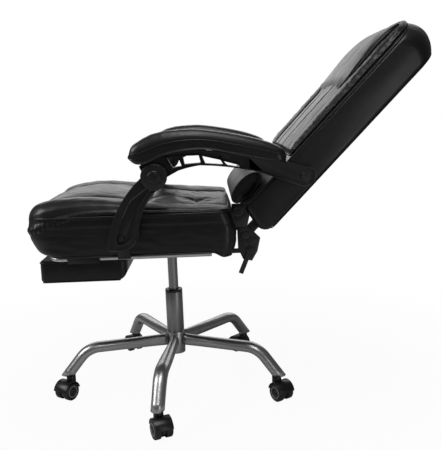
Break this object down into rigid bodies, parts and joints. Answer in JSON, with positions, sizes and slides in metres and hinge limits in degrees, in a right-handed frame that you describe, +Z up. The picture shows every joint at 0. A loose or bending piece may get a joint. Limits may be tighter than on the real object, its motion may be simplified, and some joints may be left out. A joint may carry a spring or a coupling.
{
  "type": "reclining office chair with footrest",
  "caption": "High-backed reclining office chair on a swivelling gas lift and caster base, with linkage armrests, a lumbar roll and a pull-out footrest.",
  "frame": {"origin": "on the floor, on the axis of the gas-lift column", "axes": "+Z is up along the column, the chair faces -Y, and +X is the sitter's left"},
  "size_m": [0.6889, 1.0586, 1.0245],
  "materials": {
    "chromed_steel": "bright chrome plate with a soft satin sheen",
    "black_plastic": "fine moulded grain, black",
    "caster_plastic": "smooth moulded black nylon",
    "bright_steel": "turned steel",
    "grey_tube": "satin grey column",
    "black_steel": "black powder coat",
    "light_steel": "light grey zinc plate",
    "black_leather": "glossy black leather-look cover, fine grain",
    "board_wood": "raw plywood",
    "soft_grip": "black moulded grip"
  },
  "bodies": {
    "base": {"base_hub": "chromed_steel", "base_leg_1": "chromed_steel", "base_leg_2": "chromed_steel", "base_leg_3": "chromed_steel", "base_leg_4": "chromed_steel", "base_leg_5": "chromed_steel", "leg_end_inserts": "black_plastic", "caster_stems": "bright_steel", "gas_lift_outer_tube": "grey_tube", "gas_lift_guide_bush": "black_plastic", "thrust_bearing": "bright_steel"},
    "caster_1": {"caster_hood_1": "caster_plastic"},
    "caster_1_wheels": {"caster_wheels_1": "caster_plastic", "caster_axle_1": "bright_steel"},
    "caster_2": {"caster_hood_2": "caster_plastic"},
    "caster_2_wheels": {"caster_wheels_2": "caster_plastic", "caster_axle_2": "bright_steel"},
    "caster_3": {"caster_hood_3": "caster_plastic"},
    "caster_3_wheels": {"caster_wheels_3": "caster_plastic", "caster_axle_3": "bright_steel"},
    "caster_4": {"caster_hood_4": "caster_plastic"},
    "caster_4_wheels": {"caster_wheels_4": "caster_plastic", "caster_axle_4": "bright_steel"},
    "caster_5": {"caster_hood_5": "caster_plastic"},
    "caster_5_wheels": {"caster_wheels_5": "caster_plastic", "caster_axle_5": "bright_steel"},
    "lift_rod": {"gas_lift_piston_rod": "bright_steel", "rod_retaining_clip": "bright_steel"},
    "seat": {"gas_lift_cylinder": "grey_tube", "control_housing": "black_steel", "seat_board": "board_wood", "seat_bolts": "bright_steel", "seat_base_cushion": "black_leather", "seat_top_cushion": "black_leather", "recliner_seat_plates": "black_steel", "recliner_pins": "black_steel", "arm_brackets": "black_steel", "footrest_guides": "black_plastic"},
    "back": {"back_frame": "black_steel", "recliner_back_plates": "black_steel", "back_base_cushion": "black_leather", "back_front_pillow": "black_leather", "head_pillow": "black_leather", "arm_pivot_bolts": "black_steel"},
    "lumbar": {"lumbar_pillow": "black_leather"},
    "strut_left": {"arm_strut_left": "black_plastic", "arm_knob_left": "black_plastic"},
    "arm_left": {"arm_frame_left": "black_plastic", "arm_pad_left": "black_leather"},
    "strut_right": {"arm_strut_right": "black_plastic", "arm_knob_right": "black_plastic"},
    "arm_right": {"arm_frame_right": "black_plastic", "arm_pad_right": "black_leather"},
    "footrest_slides": {"footrest_slide_frame": "light_steel"},
    "footrest": {"footrest_board": "board_wood", "footrest_hinges": "light_steel", "footrest_pad": "black_leather"},
    "lift_handle": {"lift_lever": "black_steel", "lift_lever_grip": "soft_grip"},
    "recline_handle": {"recline_lever": "black_steel"}
  },
  "joints": [
    {"name": "caster_1_swivel", "type": "hinge", "parent": "base", "child": "caster_1", "pos_m": [0.1279, 0.28458, 0.05], "axis": [0, 0, 1], "continuous": true},
    {"name": "caster_1_roll", "type": "hinge", "parent": "caster_1", "child": "caster_1_wheels", "pos_m": [0.14467, 0.29547, 0.0255], "axis": [-0.5446, 0.8387, 0], "continuous": true},
    {"name": "caster_2_swivel", "type": "hinge", "parent": "base", "child": "caster_2", "pos_m": [-0.23113, 0.20958, 0.05], "axis": [0, 0, 1], "continuous": true},
    {"name": "caster_2_roll", "type": "hinge", "parent": "caster_2", "child": "caster_2_wheels", "pos_m": [-0.24527, 0.19543, 0.0255], "axis": [0.7071, -0.7071, 0], "continuous": true},
    {"name": "caster_3_swivel", "type": "hinge", "parent": "base", "child": "caster_3", "pos_m": [-0.27074, -0.15506, 0.05], "axis": [0, 0, 1], "continuous": true},
    {"name": "caster_3_roll", "type": "hinge", "parent": "caster_3", "child": "caster_3_wheels", "pos_m": [-0.28806, -0.16506, 0.0255], "axis": [0.5, -0.866, 0], "continuous": true},
    {"name": "caster_4_swivel", "type": "hinge", "parent": "base", "child": "caster_4", "pos_m": [0.0638, -0.30541, 0.05], "axis": [0, 0, 1], "continuous": true},
    {"name": "caster_4_roll", "type": "hinge", "parent": "caster_4", "child": "caster_4_wheels", "pos_m": [0.08076, -0.316, 0.0255], "axis": [0.5299, 0.848, 0], "continuous": true},
    {"name": "caster_5_swivel", "type": "hinge", "parent": "base", "child": "caster_5", "pos_m": [0.31017, -0.0337, 0.05], "axis": [0, 0, 1], "continuous": true},
    {"name": "caster_5_roll", "type": "hinge", "parent": "caster_5", "child": "caster_5_wheels", "pos_m": [0.32859, -0.02588, 0.0255], "axis": [-0.3907, 0.9205, 0], "continuous": true},
    {"name": "seat_swivel", "type": "hinge", "parent": "base", "child": "lift_rod", "pos_m": [0, 0, 0.109], "axis": [0, 0, 1], "continuous": true},
    {"name": "seat_height", "type": "slide", "parent": "lift_rod", "child": "seat", "axis": [0, 0, 1], "range_m": [-0.09, 0]},
    {"name": "recline", "type": "hinge", "parent": "seat", "child": "back", "pos_m": [0, 0.204, 0.484], "axis": [1, 0, 0], "range_deg": [0, 30]},
    {"name": "lumbar_lift", "type": "slide", "parent": "back", "child": "lumbar", "axis": [0, 0.6984, 0.7157], "range_m": [0, 0.0755]},
    {"name": "strut_left_turn", "type": "hinge", "parent": "seat", "child": "strut_left", "pos_m": [0.289, -0.101, 0.503], "axis": [1, 0, 0], "range_deg": [0, 34]},
    {"name": "arm_left_turn", "type": "hinge", "parent": "back", "child": "arm_left", "pos_m": [0.266, 0.34924, 0.63569], "axis": [1, 0, 0], "range_deg": [-29, 0]},
    {"name": "strut_right_turn", "type": "hinge", "parent": "seat", "child": "strut_right", "pos_m": [-0.289, -0.101, 0.503], "axis": [1, 0, 0], "range_deg": [0, 34]},
    {"name": "arm_right_turn", "type": "hinge", "parent": "back", "child": "arm_right", "pos_m": [-0.266, 0.34924, 0.63569], "axis": [1, 0, 0], "range_deg": [-29, 0]},
    {"name": "footrest_slide", "type": "slide", "parent": "seat", "child": "footrest_slides", "axis": [0, -1, 0], "range_m": [0, 0.26]},
    {"name": "footrest_flip", "type": "hinge", "parent": "footrest_slides", "child": "footrest", "pos_m": [0, -0.3, 0.438], "axis": [-1, 0, 0], "range_deg": [0, 180]},
    {"name": "lift_handle_pull", "type": "hinge", "parent": "seat", "child": "lift_handle", "pos_m": [-0.068, 0.07, 0.416], "axis": [0, 1, 0], "range_deg": [0, 4], "stiffness_Nm_per_rad": 8, "springref_deg": -2.86},
    {"name": "recline_handle_pull", "type": "hinge", "parent": "seat", "child": "recline_handle", "pos_m": [0.2105, 0.215, 0.444], "axis": [1, 0, 0], "range_deg": [0, 20], "stiffness_Nm_per_rad": 0.5, "springref_deg": -5.73}
  ],
  "couplings": [
    {"joint": "lumbar_lift", "follows": "recline", "m_per_rad": 0.14324},
    {"joint": "strut_left_turn", "follows": "recline", "ratio": 1.0904},
    {"joint": "arm_left_turn", "follows": "recline", "ratio": -0.85222},
    {"joint": "strut_right_turn", "follows": "recline", "ratio": 1.0904},
    {"joint": "arm_right_turn", "follows": "recline", "ratio": -0.85222},
    {"joint": "footrest_flip", "follows": "footrest_slide", "rad_per_m": 12.082}
  ]
}
